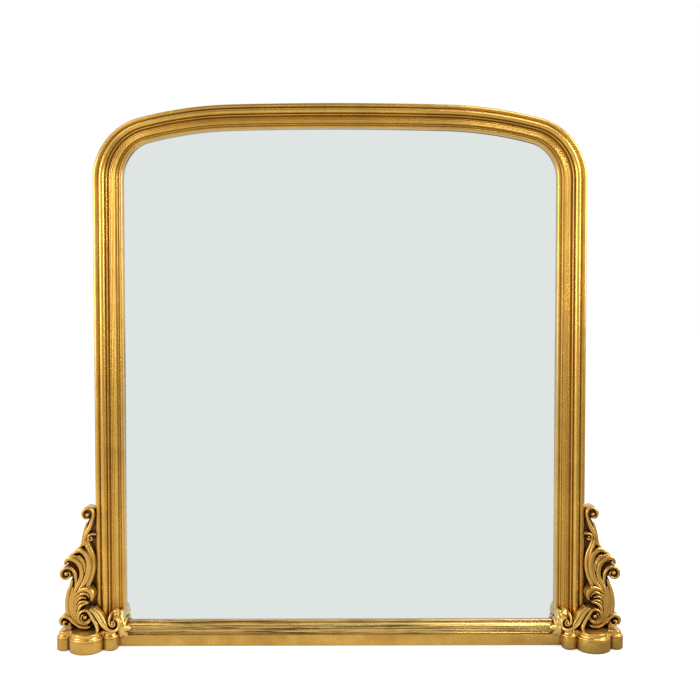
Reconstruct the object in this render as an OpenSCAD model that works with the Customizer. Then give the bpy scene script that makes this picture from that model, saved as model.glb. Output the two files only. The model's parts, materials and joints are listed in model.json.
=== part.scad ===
// Arched overmantle mirror: gilt swept frame with a flat crown and rounded shoulders,
// carved scroll brackets on lobed plinth blocks, and a moulded sill over a plinth rail.
// Millimetres. Z is up, the front faces -Y, the ground is Z = 0 and X = 0 is the centre line.

/* [Overall size] */
// height from the ground to the top of the crown
overall_h = 1270; // [1050:1:1450]
// width over the two stiles
frame_w = 1150; // [950:1:1300]
// reach of each plinth block past the side of its stile
block_out = 85; // [75:1:110]
// felt under the plinth blocks
pad_t = 2; // [1:0.5:5]

/* [Arch] */
// outside radius of the middle of the crown
crown_r = 9300; // [4000:50:15000]
// half angle of the crown arc
crown_deg = 1.55; // [1:0.05:2.5]
// outside radius of each haunch
haunch_r = 943; // [700:1:1200]
// angle at which the haunch meets the corner arc
haunch_deg = 14.7; // [10:0.1:20]

/* [Frame moulding] */
// width of the outer rim fillet
rim_w = 4; // [3:0.1:6]
// width of the quirk between the rim and the torus
rim_quirk_w = 3.5; // [2:0.1:5]
// width of the torus
torus_w = 12.5; // [10:0.1:15]
// width of the fillet between the torus and the cove
step_w = 2; // [1:0.1:3]
// width of the cove
cove_w = 13.5; // [10:0.1:16]
// width of the band that rises towards the glass
band_w = 15; // [12:0.1:18]
// width of the hollow between the band and the sight bead
scotia_w = 7; // [5:0.1:9]
// width of the sight bead
bead_w = 8.5; // [6:0.1:11]
// width of the lip past the bead
lip_w = 1.5; // [1:0.1:3]
// depth from the back face to the top of the rim
rim_d = 33; // [28:0.5:40]
// depth from the back face to the shoulder of the torus
torus_d = 43.3; // [40:0.1:48]
// depth to the fillet before the cove
step_d = 41; // [39:0.1:43]
// depth to the bottom of the cove
cove_d = 31.5; // [29:0.1:34]
// depth to the outer foot of the band
band_foot_d = 33; // [31:0.1:35]
// depth to the crest of the band
band_d = 37.2; // [35:0.1:40]
// depth to the bottom of the hollow before the bead
scotia_d = 26.5; // [25:0.1:29]
// depth to the crest of the sight bead
bead_d = 31.5; // [29:0.1:35]
// depth of the quirk beside the bead
bead_quirk_d = 25.5; // [22:0.1:26]
// ratio of moulding width at the crown to that at the stiles
crown_ratio = 0.85; // [0.8:0.01:1]

/* [Rebate and glass] */
// depth of the rebate behind the lip
rebate_d = 16; // [13:0.5:20]
// width of the rebate
rebate_w = 9; // [7:0.5:12]
// gap round the glass in the rebate
glass_gap = 1; // [0.5:0.1:2]
// mirror glass
glass_t = 4; // [3:0.5:6]
// backing board
board_t = 3; // [2:0.5:4]
// packing under the glass
setting_t = 2; // [1:0.5:3]
// length of each packing block
setting_l = 40; // [25:1:60]
// distance of the packing blocks from the centre line
setting_x = 300; // [200:10:400]

/* [Sill and plinth rail] */
// height of the flat plinth rail
plinth_h = 26; // [20:0.5:32]
// depth of the flat plinth rail
plinth_d = 45; // [40:0.5:50]
// height of the moulded sill
sill_h = 28.5; // [24:0.5:34]
// depth of the sill at its foot
sill_d = 41; // [36:0.5:44]
// depth of the sill at its sight edge
sill_edge_d = 22; // [18:0.5:26]
// height of the foot bead of the sill
sill_bead_h = 6; // [4:0.5:8]

/* [Plinth blocks] */
// radius of the two corner lobes
lobe_r = 16.5; // [14:0.1:18]
// depth from the back to the centres of the corner lobes
lobe_d = 65; // [55:0.5:75]
// radius of the middle bow
bow_r = 39; // [34:0.5:42]
// depth from the back to the centre of the middle bow
bow_d = 74; // [66:0.5:80]
// half width between lobe centres
lobe_x = 54.5; // [50:0.5:58]
// height of the moulded cap
cap_h = 17; // [12:0.5:22]
// height of the cap bead
cap_bead_h = 5.6; // [4:0.1:8]
// height of the lip at the top of the cap
cap_lip_h = 4.4; // [3:0.1:6]
// clearance between the cap and the front of the stile
cap_gap = 0.5; // [0.3:0.1:1]

/* [Carving] */
// height of the scroll bracket above the cap
scroll_h = 280; // [240:1:320]
// width of the scroll bracket
scroll_w = 80; // [70:1:85]
// depth of the scroll bracket at its foot
scroll_d = 72; // [64:1:80]

/* [Back fittings] */
// thickness of the steel plates
plate_t = 1.2; // [1:0.1:2]
// width of the steel plates
plate_w = 16; // [12:0.5:20]
// length of the steel plates
plate_l = 70; // [50:1:90]
// thickness of the hanger straps
strap_t = 1.5; // [1.2:0.1:2]
// width of the hanger straps
strap_w = 14; // [12:0.5:18]
// length of the hanger straps below the ring
strap_l = 50; // [46:1:60]
// radius of the ring wire
wire_r = 1.8; // [1.5:0.1:2.5]
// running clearance of the ring in its sleeve
ring_gap = 0.08; // [0.05:0.01:0.1]
// half width of the ring on its centre line
ring_r = 12; // [10:0.5:15]
// straight side of the ring
ring_side = 14; // [12:0.5:18]
// distance of the ring axis behind the frame
ring_out = 4.2; // [4:0.1:6]
// distance of the ring axis below the spring line of the arch
ring_down = 164; // [120:1:300]
// radius of the screw shanks
screw_r = 2; // [1.5:0.1:2.5]
// length of the screws in the wood
screw_l = 11; // [8:1:16]
// radius of the rubber wall bumpers
bumper_r = 9; // [7:0.5:12]
// thickness of the rubber wall bumpers
bumper_t = 9; // [8.5:0.1:12]

/* [Which piece] */
// all, or the name of one piece

/* [Hidden] */
$fn = 96;
half_w = frame_w / 2;
bead_end = rim_w + rim_quirk_w + torus_w + step_w + cove_w + band_w + scotia_w + bead_w;
stile_w = bead_end + lip_w;
total_d = bow_d + bow_r + bumper_t;
back_y = total_d / 2 - bumper_t;
sight_x = half_w - stile_w;
block_x = half_w + block_out - lobe_x - lobe_r;
block_top = pad_t + plinth_h;
cap_top = block_top + cap_h;
sill_top = block_top + sill_h;
corner_r = (half_w - crown_r * sin(crown_deg)
    - haunch_r * (sin(haunch_deg) - sin(crown_deg))) / (1 - sin(haunch_deg));
haunch_cx = (crown_r - haunch_r) * sin(crown_deg);
crown_half = crown_r * sin(crown_deg);
corner_cx = half_w - corner_r;
crown_cz = overall_h - crown_r;
haunch_cz = crown_cz + (crown_r - haunch_r) * cos(crown_deg);
corner_cz = haunch_cz + (haunch_r - corner_r) * cos(haunch_deg);
spring_z = corner_cz;
ring_z = spring_z - ring_down;
glass_u = (stile_w - rebate_w + glass_gap) / stile_w;
glass_foot = sill_top - rebate_w + setting_t;

// Shared shapes

// the frame moulding as [distance in from the outer edge, depth from the back face]
u_torus = rim_w + rim_quirk_w;
u_step = u_torus + torus_w;
u_cove = u_step + step_w;
u_band = u_cove + cove_w;
u_scotia = u_band + band_w;
u_bead = u_scotia + scotia_w;
arris = 0.8;
bead_foot = 0.4;
function moulding(k) = [for (p = concat(
    [[0, 0], [0, rim_d - 1], [1, rim_d], [rim_w - arris, rim_d], [rim_w, rim_d - 1],
        [rim_w, rim_d - 4], [u_torus, rim_d - 4]],
    [for (i = [0:8]) [u_torus + torus_w / 2 - torus_w / 2 * cos(i * 22.5),
        torus_d + torus_w / 2 * sin(i * 22.5)]],
    [[u_step, step_d]],
    [for (i = [0:5]) [u_band - cove_w * cos(i * 18), step_d - (step_d - cove_d) * sin(i * 18)]],
    [for (i = [0:5]) [u_band + band_w * i / 5,
        band_foot_d + (band_d - band_foot_d) * sin(i * 18)]],
    [for (i = [0:5]) [u_bead - (scotia_w - arris) * cos(i * 18),
        band_d - arris - (band_d - arris - scotia_d) * sin(i * 18)]],
    [for (i = [0:6]) [u_bead + bead_foot + (bead_w - bead_foot) / 2 * (1 - cos(i * 30)),
        bead_quirk_d + (bead_d - bead_quirk_d) * sin(i * 30)]],
    [[stile_w, rebate_d + 5], [stile_w, rebate_d], [stile_w - rebate_w, rebate_d],
        [stile_w - rebate_w, 0]])) [p[0] * k, p[1]]];

// the right-hand arch from the crown arc to the spring line as
// [outside x, outside z, inward x, inward z, width ratio]
haunch_n = 6;
corner_n = 14;
function ease(t) = t * t * (3 - 2 * t);
function station(cx, cz, r, a) = [cx + r * sin(a), cz + r * cos(a), -sin(a), -cos(a),
    crown_ratio + (1 - crown_ratio) * ease((a - crown_deg) / (90 - crown_deg))];
arch = concat(
    [for (i = [0:haunch_n]) station(haunch_cx, haunch_cz, haunch_r,
        crown_deg + (haunch_deg - crown_deg) * i / haunch_n)],
    [for (i = [1:corner_n]) station(corner_cx, corner_cz, corner_r,
        haunch_deg + (90 - haunch_deg) * i / corner_n)]);

// the outline of the glass and its backing, right side then left
function inset(s, u) = [s[0] + s[2] * stile_w * s[4] * u, s[1] + s[3] * stile_w * s[4] * u];
arch_in = [for (s = arch) inset(s, glass_u)];
crown_in = [for (i = [-3:3]) let (a = crown_deg * i / 4,
    r = crown_r - stile_w * crown_ratio * glass_u) [r * sin(a), crown_cz + r * cos(a)]];
glass_x = half_w - stile_w * glass_u;
glass_outline = concat(crown_in, arch_in, [[glass_x, glass_foot], [-glass_x, glass_foot]],
    [for (i = [len(arch_in) - 1:-1:0]) [-arch_in[i][0], arch_in[i][1]]]);

// Frame

module left_stile() {
    color("goldenrod")
        translate([-half_w, back_y, block_top])
        linear_extrude(height = spring_z - block_top)
        polygon([for (p = moulding(1)) [p[0], -p[1]]]);
}

module right_stile() {
    color("goldenrod")
        translate([half_w, back_y, block_top])
        linear_extrude(height = spring_z - block_top)
        polygon([for (p = moulding(1)) [-p[0], -p[1]]]);
}

module crown_rail() {
    color("goldenrod")
        translate([0, back_y, crown_cz])
        rotate([90, 0, 0])
        rotate_extrude(angle = 2 * crown_deg, start = 90 - crown_deg, $fn = 1440)
        polygon([for (p = moulding(crown_ratio)) [crown_r - p[0], p[1]]]);
}

module shoulder(side) {
    m = moulding(1);
    n = len(m);
    pts = [for (s = arch) for (p = m) [side * (s[0] + s[2] * p[0] * s[4]),
        back_y - p[1], s[1] + s[3] * p[0] * s[4]]];
    last = (len(arch) - 1) * n;
    walls = [for (i = [0:len(arch) - 2]) for (j = [0:n - 1]) for (h = [0, 1])
        let (a = i * n + j, b = i * n + (j + 1) % n)
        h == 0 ? [a, b, b + n] : [a, b + n, a + n]];
    ends = [[for (j = [n - 1:-1:0]) j], [for (j = [0:n - 1]) last + j]];
    faces = concat(walls, ends);
    color("goldenrod")
        polyhedron(pts, side > 0 ? [for (f = faces) [for (k = [len(f) - 1:-1:0]) f[k]]] : faces);
}

module left_shoulder() {
    shoulder(-1);
}

module right_shoulder() {
    shoulder(1);
}

sill_n = 7;
module sill_rail() {
    rise = sill_h - sill_bead_h - 2;
    run = sill_d - 4 - sill_edge_d;
    bead_r = sill_bead_h / 2;
    profile = concat(
        [[0, 0], [sill_d - bead_r, 0]],
        [for (i = [0:6]) [sill_d - bead_r + bead_r * cos(i * 30 - 90),
            1 + bead_r + bead_r * sin(i * 30 - 90)]],
        [[sill_d - bead_r - 1.5, sill_bead_h + 1.5]],
        [for (i = [0:sill_n]) [sill_edge_d + run * cos(90 * i / sill_n),
            sill_bead_h + 2 + rise * sin(90 * i / sill_n)]],
        [[rebate_d, sill_h], [rebate_d, sill_h - rebate_w], [0, sill_h - rebate_w]]);
    color("goldenrod")
        translate([-sight_x, back_y, block_top])
        rotate([90, 0, 90])
        linear_extrude(height = 2 * sight_x)
        polygon([for (p = profile) [-p[0], p[1]]]);
}

module plinth_rail() {
    color("goldenrod")
        translate([-half_w, back_y - plinth_d, pad_t])
        cube([frame_w, plinth_d, plinth_h]);
}

// Plinth blocks and caps

module block_plan(g = 0) {
    difference() {
        union() {
            translate([g - lobe_x - lobe_r, -lobe_d])
                square([2 * (lobe_x + lobe_r - g), lobe_d - min(g, 1)]);
            translate([-lobe_x, -lobe_d])
                circle(r = lobe_r - g);
            translate([lobe_x, -lobe_d])
                circle(r = lobe_r - g);
            translate([0, -bow_d])
                circle(r = bow_r - g);
        }
        translate([block_x - half_w - g, -plinth_d - g])
            square([2 * lobe_x, plinth_d + g + 1]);
    }
}

module left_plinth_block() {
    color("goldenrod")
        translate([-block_x, back_y, pad_t])
        linear_extrude(height = plinth_h)
        block_plan();
}

module right_plinth_block() {
    color("goldenrod")
        mirror([1, 0, 0])
        translate([-block_x, back_y, pad_t])
        linear_extrude(height = plinth_h)
        block_plan();
}

// insets of the joint, of the hollow over the bead and of the top edge of the cap
cap_joint = 0.4;
bead_in = 1.4;
cap_cove_in = 3.8;
cap_top_in = 7.2;

// the edge of the cap as [inset, height]: a bead, a hollow and a rounded lip
bead_top = cap_joint + cap_bead_h;
lip_foot = cap_h - cap_lip_h;
cap_edge = concat(
    [[bead_in, 0]],
    [for (i = [0:6]) [bead_in * (1 - cos(i * 30 - 90)),
        cap_joint + cap_bead_h / 2 * (1 + sin(i * 30 - 90))]],
    [for (i = [1:5]) [bead_in + cap_cove_in * sin(i * 18),
        bead_top + (lip_foot - bead_top) * (1 - cos(i * 18))]],
    [[bead_in + cap_cove_in, cap_h - 2], [cap_top_in - 1.4, cap_h - 0.6], [cap_top_in, cap_h]]);

module turned_lobe(x, d, r) {
    translate([x, -d, 0])
        rotate_extrude()
        polygon(concat([[0, 0]], [for (e = cap_edge) [r - e[0], e[1]]], [[0, cap_h]]));
}

// the cap: lobes and bow turned with the edge, straight sides to the wall,
// notched round the foot of the stile
module left_plinth_cap() {
    notch_d = torus_d + torus_w / 2 + cap_gap;
    throat = 3;
    color("goldenrod")
        translate([-block_x, back_y, block_top])
        difference() {
            union() {
                turned_lobe(-lobe_x, lobe_d, lobe_r);
                turned_lobe(lobe_x, lobe_d, lobe_r);
                turned_lobe(0, bow_d, bow_r);
                translate([-lobe_x - 2, -lobe_d + throat, 0])
                    cube([2 * lobe_x + 4, lobe_d - throat, cap_h]);
                for (side = [-1, 1])
                    rotate([90, 0, 0])
                        linear_extrude(height = lobe_d)
                        polygon(concat([[side * lobe_x, 0]],
                            [for (e = cap_edge) [side * (lobe_x + lobe_r - e[0]), e[1]]],
                            [[side * lobe_x, cap_h]]));
            }
            translate([block_x - half_w, -notch_d, -1])
                cube([2 * lobe_x, notch_d + 1, cap_h + 2]);
        }
}

module right_plinth_cap() {
    mirror([1, 0, 0])
        left_plinth_cap();
}

// Carving: each strand is a row of rounded posts, given as
// [distance out from the side of the stile, height above the cap, radius, front depth]
module post(p, back) {
    dome = min(p[2] * 0.8, 5);
    body = p[3] - back - dome;
    translate([-half_w - p[0], back_y - back, p[1]])
        rotate([90, 0, 0]) {
            cylinder(h = body, r = p[2], $fn = 8);
            translate([0, 0, body])
                cylinder(h = dome, r1 = p[2], r2 = p[2] * 0.45, $fn = 8);
        }
}

module strand(pts, back = 0) {
    for (i = [0:len(pts) - 2])
        hull() {
            post(pts[i], back);
            post(pts[i + 1], back);
        }
}

// points round a spiral from radius r0 to r1, half width w0 to w1
function coil(co, ch, r0, r1, a0, a1, w0, w1, front, n) = [for (i = [0:n]) let (t = i / n,
    r = r0 + (r1 - r0) * t, a = a0 + (a1 - a0) * t)
    [co + r * cos(a), ch + r * sin(a), w0 + (w1 - w0) * t, front + 2 * t]];

// the straight rib against the stile and the foot on the cap
rib_w = 10;
rib_d = 22;
rib_short = 18;
foot_t = 4;
foot_d = 56;
foot_short = 5;
module bracket_carving() {
    // the web behind the scrolls
    strand([[17, 264, 11, 24], [14, 240, 11, 24], [16, 215, 13, 24], [18, 190, 14, 24],
        [20, 160, 16, 26], [26, 130, 20, 26], [36, 100, 24, 26], [42, 62, 24, 26],
        [40, 26, 24, 26], [66, 18, 10, 26]]);
    strand([[30, 150, 14, 26], [52, 152, 10, 26], [60, 128, 12, 26], [46, 104, 18, 26]]);
    // upper volute and neck
    strand([[22, 205, 7, 44], [15, 224, 6.5, 44], [9, 240, 5.5, 45], [5.5, 254, 4.5, 45],
        [6, 267, 4.2, 45], [12, 275, 4.2, 45], [21, 276, 4.2, 45], [27, 270, 4, 45],
        [27, 261, 3.6, 44], [21, 257, 3.2, 43], [16, 262, 3.2, 44]]);
    // left edge of the body down to the first leaf tip
    strand([[18, 250, 4.5, 40], [21, 234, 5.5, 42], [25, 216, 5.5, 43], [28, 200, 5.5, 45],
        [36, 190, 5, 47], [45, 184, 4.5, 48], [52, 174, 3, 46]]);
    // inner volute against the stile
    strand(coil(10, 212, 7, 2, 30, 480, 3, 2.4, 46, 9));
    // inner stem
    strand([[14, 202, 4.5, 46], [9, 188, 4.5, 47], [5.5, 172, 4.8, 47], [5, 150, 5, 48],
        [5.5, 130, 5, 49], [10, 110, 5.5, 51], [17, 92, 6, 54], [22, 70, 6, 59],
        [24, 50, 5, 64]]);
    // first leaf
    strand([[46, 178, 3.6, 50], [36, 183, 4, 51], [26, 178, 4.5, 51], [17, 166, 4.5, 51],
        [13, 150, 4.5, 51], [13, 132, 4.5, 51], [18, 114, 4.5, 52]]);
    // second leaf
    strand([[72, 155, 3, 48], [66, 162, 4, 51], [56, 164, 4.8, 53], [44, 158, 5, 53],
        [34, 148, 5, 53], [28, 134, 5, 53], [29, 119, 5, 54], [36, 105, 5, 56],
        [43, 90, 5.5, 58], [44, 70, 6, 61], [40, 50, 5.5, 65]]);
    // outer volute
    strand([[55, 92, 5, 56], [48, 104, 5, 56], [45.5, 118, 4.5, 56], [47, 131, 4.5, 56],
        [54, 141, 4.5, 56], [65, 143, 4.3, 56], [75, 138, 4.2, 56], [79, 128, 4, 56],
        [74, 119, 3.8, 55], [65, 118, 3.4, 55], [60, 126, 3.2, 56], [66, 131, 4, 57]]);
    // flutes of the belly
    strand([[52, 108, 5, 54], [59, 92, 6, 56], [63, 76, 6.5, 58], [63, 58, 6.5, 60],
        [59, 44, 6, 62], [50, 32, 5.5, 65], [40, 22, 5, 67], [30, 14, 4.5, 69]]);
    strand([[49, 98, 5, 57], [54, 82, 6, 59], [54, 64, 6, 62], [49, 48, 5.5, 65],
        [40, 36, 5, 67]]);
    strand([[31, 100, 5, 57], [33, 80, 6, 60], [33, 62, 6, 63], [30, 47, 5, 66]]);
    // leaf over the inner side
    strand([[17, 98, 5, 60], [9, 90, 5, 62], [5, 79, 4.5, 64], [6, 68, 3.2, 65],
        [10, 61, 2.4, 65]]);
    strand([[46, 66, 4, 63], [37, 74, 4, 64], [27, 77, 4, 65], [17, 76, 4, 66],
        [10, 71, 3.2, 66]]);
    // lower volute
    strand(coil(21, 29, 13.5, 2.5, 170, -560, 3.6, 2.6, 68, 15));
    // foot scroll
    strand([[71, 11, 4.6, 62], [76, 19, 4, 63], [73, 27, 4, 64], [63, 28.5, 4.2, 65],
        [53, 23, 4.2, 66], [45, 14, 4.2, 67], [35, 7, 4.2, 68], [24, 4.6, 4.2, 69],
        [11, 5, 4, 69]]);
    strand([[70, 18, 2.8, 64], [63, 20, 3, 65], [57, 13, 3.2, 66], [61, 5, 3.6, 66],
        [70, 4, 3.6, 62]]);
}

module left_scroll_bracket() {
    color("goldenrod")
        translate([0, 0, cap_top])
        intersection() {
            union() {
                translate([-half_w - rib_w, back_y - rib_d, 0])
                    cube([rib_w, rib_d, scroll_h - rib_short]);
                translate([-half_w - scroll_w + foot_short, back_y - foot_d, 0])
                    cube([scroll_w - foot_short, foot_d, foot_t]);
                translate([-half_w, back_y, 0])
                    scale([scroll_w / 80, scroll_d / 72, scroll_h / 280])
                    translate([half_w, -back_y, 0])
                    bracket_carving();
            }
            translate([-half_w - 2 * scroll_w, back_y - total_d, 0])
                cube([2 * scroll_w, total_d, 2 * scroll_h]);
        }
}

module right_scroll_bracket() {
    mirror([1, 0, 0])
        left_scroll_bracket();
}

// distance from the side of the stile in to the inner side of the block
block_in = half_w - block_x + lobe_x + lobe_r;

// the space taken by the left stile, with a small clearance
leaf_gap = 0.3;
module stile_space() {
    translate([-half_w, back_y, 0])
        linear_extrude(height = scroll_h)
        offset(delta = leaf_gap)
        polygon([for (p = moulding(1)) [p[0], -p[1]]]);
}

module leaf_carving() {
    // outer edge of the leaf falling from the bracket to the front of the cap
    strand([[-3, 50, 4.5, 66], [-7, 40, 5, 70], [-9, 26, 5, 74], [-9, 12, 4.6, 76],
        [-7, 4, 4, 78]], 20);
    strand([[-5, 49, 4, 68], [-14, 40, 4.6, 70], [-24, 29, 4.6, 73], [-33, 18, 4.4, 76],
        [-40, 7, 4, 78]], 20);
    strand([[-4, 34, 4, 72], [-14, 22, 4.4, 76], [-24, 11, 4.2, 80], [-34, 5, 4, 83],
        [-46, 4, 3.8, 82], [-56, 8, 3.5, 79]], 20);
    // small volute
    strand(coil(-44, 16, 11, 2, -60, 560, 3.2, 2.4, 74, 13), 20);
    // leaf tips over the moulding
    strand([[-12, 30, 4.5, 60], [-18, 36, 3.8, 60], [-21, 41, 2.4, 57]], 20);
    strand([[-26, 24, 5, 62], [-36, 30, 4.2, 62], [-42, 34, 2.6, 58]], 20);
    strand([[-44, 22, 5, 62], [-54, 30, 4.4, 60], [-61, 37, 2.6, 56]], 20);
    strand([[-5, 4, 4, 72], [-30, 5, 5, 72], [-54, 5, 5, 70]], 20);
    translate([-half_w + 1, back_y - 72, 0])
        cube([48, 22, foot_t]);
}

module left_foot_leaf() {
    color("goldenrod")
        translate([0, 0, cap_top])
        difference() {
            intersection() {
                leaf_carving();
                translate([-half_w, back_y - total_d, 0])
                    cube([block_in, total_d, scroll_h]);
            }
            stile_space();
        }
}

module right_foot_leaf() {
    mirror([1, 0, 0])
        left_foot_leaf();
}

// the leaf that turns down the inner side of the block, over the end of the sill,
// measured in from that side
module corner_carving() {
    translate([block_in, 0, 0]) {
        strand([[-3, 34, 4.5, 56], [-11, 34, 5.5, 60], [-20, 27, 5.5, 61], [-27, 17, 4.8, 59],
            [-32, 8, 3, 55]], 24);
        strand([[-11, 30, 5, 58], [-15, 18, 5, 59], [-21, 9, 4.6, 58], [-30, 8, 3.2, 55]], 24);
        strand([[-9, 30, 5, 58], [-7, 14, 5, 60], [-6, 0, 4.6, 60], [-5, -12, 4, 57],
            [-4, -20, 3, 54]], 24);
        strand([[-15, 14, 4.5, 56], [-13, 0, 4, 56], [-9, -12, 3, 54]], 24);
    }
}

module left_corner_leaf() {
    color("goldenrod")
        translate([0, 0, cap_top])
        difference() {
            corner_carving();
            stile_space();
            // block and cap
            translate([-half_w - 1, back_y - total_d, -cap_top])
                cube([block_in + 1, total_d, cap_top + scroll_h]);
            // plinth rail
            translate([-half_w, back_y - plinth_d, -cap_top])
                cube([half_w, plinth_d + 1, block_top]);
            // sill
            translate([-half_w, back_y - sill_d - leaf_gap, block_top - cap_top])
                cube([half_w, sill_d + leaf_gap + 1, sill_h + leaf_gap]);
            // glass
            translate([-half_w, back_y - rebate_d - leaf_gap, 0])
                cube([half_w, rebate_d + leaf_gap, scroll_h]);
        }
}

module right_corner_leaf() {
    mirror([1, 0, 0])
        left_corner_leaf();
}

// Glass and backing

module mirror_glass() {
    color("lightblue")
        translate([0, back_y - rebate_d + glass_t, 0])
        rotate([90, 0, 0])
        linear_extrude(height = glass_t)
        polygon(glass_outline);
}

module backboard() {
    color("tan")
        translate([0, back_y - rebate_d + glass_t + board_t, 0])
        rotate([90, 0, 0])
        linear_extrude(height = board_t)
        polygon(glass_outline);
}

module setting_block(side) {
    color("dimgray")
        translate([side * setting_x - setting_l / 2, back_y - rebate_d, sill_top - rebate_w])
        cube([setting_l, glass_t, setting_t]);
}

module left_setting_block() {
    setting_block(-1);
}

module right_setting_block() {
    setting_block(1);
}

// the steel points driven into the rebate over the backing board
point_in = 5;
point_out = 7;
point_w = 8;
point_t = 0.8;
point_foot = 113.5;
point_head = 84;
point_side = 107.5;
point_zs = [for (i = [0:4]) sill_top + point_foot
    + i * (spring_z - point_head - sill_top - point_foot) / 4];
point_xs = [for (i = [-2:2]) i * (sight_x - point_side) / 2];
module glazing_points() {
    board_back = back_y - rebate_d + glass_t + board_t;
    edge_x = half_w - stile_w + rebate_w;
    color("silver") {
        for (side = [-1, 1])
            for (z = point_zs)
                translate([side * edge_x - (side > 0 ? point_out : point_in), board_back, z])
                    cube([point_in + point_out, point_t, point_w]);
        for (x = point_xs)
            translate([x, board_back, sill_top - rebate_w - point_in])
                cube([point_w, point_t, point_in + point_out]);
        for (x = [-0.7 * crown_half, 0, 0.7 * crown_half])
            translate([x, board_back, crown_cz + sqrt(pow(crown_r - crown_ratio
                * (stile_w - rebate_w), 2) - x * x) - point_out])
                cube([point_w, point_t, point_in + point_out]);
    }
}

// Steel plates across the joints at the back

plate_hole = plate_l / 2 - 8;
plate_pitch = 14;
head_r = 3.4;
head_t = 1.2;
foot_plate_l = 44;
// distance from the side of the stile in to the middle of its back
fitting_in = stile_w * 0.43;
// each plate as [x, z, turn] on the left; the right side is mirrored
crown_joint = arch[0];
crown_plate_at = [-crown_joint[0] - crown_joint[2] * stile_w * crown_ratio * 0.45,
    crown_joint[1] + crown_joint[3] * stile_w * crown_ratio * 0.45, crown_deg];
shoulder_plate_at = [-half_w + fitting_in, spring_z, 90];
foot_plate_at = [-half_w + fitting_in, block_top, 90];
bracket_plate_at = [-half_w, cap_top + scroll_h * 0.55, 0];
PLATES = [crown_plate_at, shoulder_plate_at, bracket_plate_at];
hole_xs = [-plate_hole, -plate_hole + plate_pitch, plate_hole - plate_pitch, plate_hole];
foot_hole_xs = [-foot_plate_l / 4, foot_plate_l / 4];

module plate_frame(at) {
    translate([at[0], back_y, at[1]])
        rotate([0, -at[2], 0])
        rotate([-90, 0, 0])
        children();
}

module plate(at, len_out = plate_l, holes = hole_xs) {
    color("silver")
        plate_frame(at)
        linear_extrude(height = plate_t)
        difference() {
            union() {
                square([len_out - plate_w, plate_w], center = true);
                for (x = [-1, 1])
                    translate([x * (len_out - plate_w) / 2, 0])
                        circle(r = plate_w / 2);
            }
            for (x = holes)
                translate([x, 0])
                    circle(r = screw_r + 0.2);
        }
}

module left_crown_plate() {
    plate(crown_plate_at);
}

module right_crown_plate() {
    mirror([1, 0, 0])
        plate(crown_plate_at);
}

module left_shoulder_plate() {
    plate(shoulder_plate_at);
}

module right_shoulder_plate() {
    mirror([1, 0, 0])
        plate(shoulder_plate_at);
}

module left_foot_plate() {
    plate(foot_plate_at, foot_plate_l, foot_hole_xs);
}

module right_foot_plate() {
    mirror([1, 0, 0])
        left_foot_plate();
}

module left_bracket_plate() {
    plate(bracket_plate_at);
}

module right_bracket_plate() {
    mirror([1, 0, 0])
        plate(bracket_plate_at);
}

module screw(len_in, seat) {
    translate([0, 0, -len_in])
        cylinder(h = len_in + seat, r = screw_r);
    translate([0, 0, seat])
        cylinder(h = head_t, r1 = head_r, r2 = head_r - 0.8);
}

module plate_screws() {
    color("silver")
        for (side = [0, 1])
            mirror([side, 0, 0]) {
                for (at = PLATES)
                    for (x = hole_xs)
                        plate_frame(at)
                            translate([x, 0, 0])
                            screw(screw_l, plate_t);
                for (x = foot_hole_xs)
                    plate_frame(foot_plate_at)
                        translate([x, 0, 0])
                        screw(screw_l, plate_t);
            }
}

// Hanger straps, rings and their screws

ring_x = half_w - fitting_in;
sleeve_r = wire_r + ring_gap + strap_t;
strap_hole_zs = [15, strap_l - 11];
countersink_r = 3.6;

module hanger_strap(side) {
    color("silver")
        translate([side * ring_x, back_y, ring_z])
        difference() {
            union() {
                translate([-strap_w / 2, 0, -strap_l + strap_w / 2])
                    cube([strap_w, strap_t, strap_l - strap_w / 2]);
                translate([0, 0, -strap_l + strap_w / 2])
                    rotate([-90, 0, 0])
                    cylinder(h = strap_t, r = strap_w / 2);
                translate([-strap_w / 2, 0, -sleeve_r])
                    cube([strap_w, ring_out, sleeve_r * 2 - 0.6]);
                translate([-strap_w / 2, ring_out, 0])
                    rotate([0, 90, 0])
                    cylinder(h = strap_w, r = sleeve_r);
            }
            translate([-strap_w, ring_out, 0])
                rotate([0, 90, 0])
                cylinder(h = 2 * strap_w, r = wire_r + ring_gap);
            for (z = strap_hole_zs)
                translate([0, 0, -z])
                    rotate([-90, 0, 0]) {
                        translate([0, 0, -1])
                            cylinder(h = strap_t + 2, r = screw_r + 0.2);
                        translate([0, 0, strap_t - 1.2])
                            cylinder(h = 1.4, r1 = countersink_r - 1.2, r2 = countersink_r + 0.2);
                    }
        }
}

module left_hanger_strap() {
    hanger_strap(-1);
}

module right_hanger_strap() {
    hanger_strap(1);
}

module hanger_screws() {
    color("silver")
        for (side = [-1, 1])
            for (z = strap_hole_zs)
                translate([side * ring_x, back_y, ring_z - z])
                    rotate([-90, 0, 0]) {
                        translate([0, 0, -1.6 * screw_l])
                            cylinder(h = 1.6 * screw_l + 0.3, r = screw_r);
                        translate([0, 0, 0.3])
                            cylinder(h = 1.2, r1 = screw_r, r2 = countersink_r - 0.3);
                    }
}

module hanging_ring(side) {
    color("silver")
        translate([side * ring_x, back_y + ring_out, ring_z]) {
            translate([-ring_r, 0, 0])
                rotate([0, 90, 0])
                cylinder(h = 2 * ring_r, r = wire_r);
            for (x = [-ring_r, ring_r])
                translate([x, 0, 0]) {
                    sphere(r = wire_r);
                    translate([0, 0, -ring_side])
                        cylinder(h = ring_side, r = wire_r);
                }
            translate([0, 0, -ring_side])
                rotate([90, 0, 0])
                rotate_extrude(angle = 180, start = 180)
                translate([ring_r, 0])
                circle(r = wire_r);
        }
}

module left_hanging_ring() {
    hanging_ring(-1);
}

module right_hanging_ring() {
    hanging_ring(1);
}

// Wall bumpers, block screws and base felts

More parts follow.
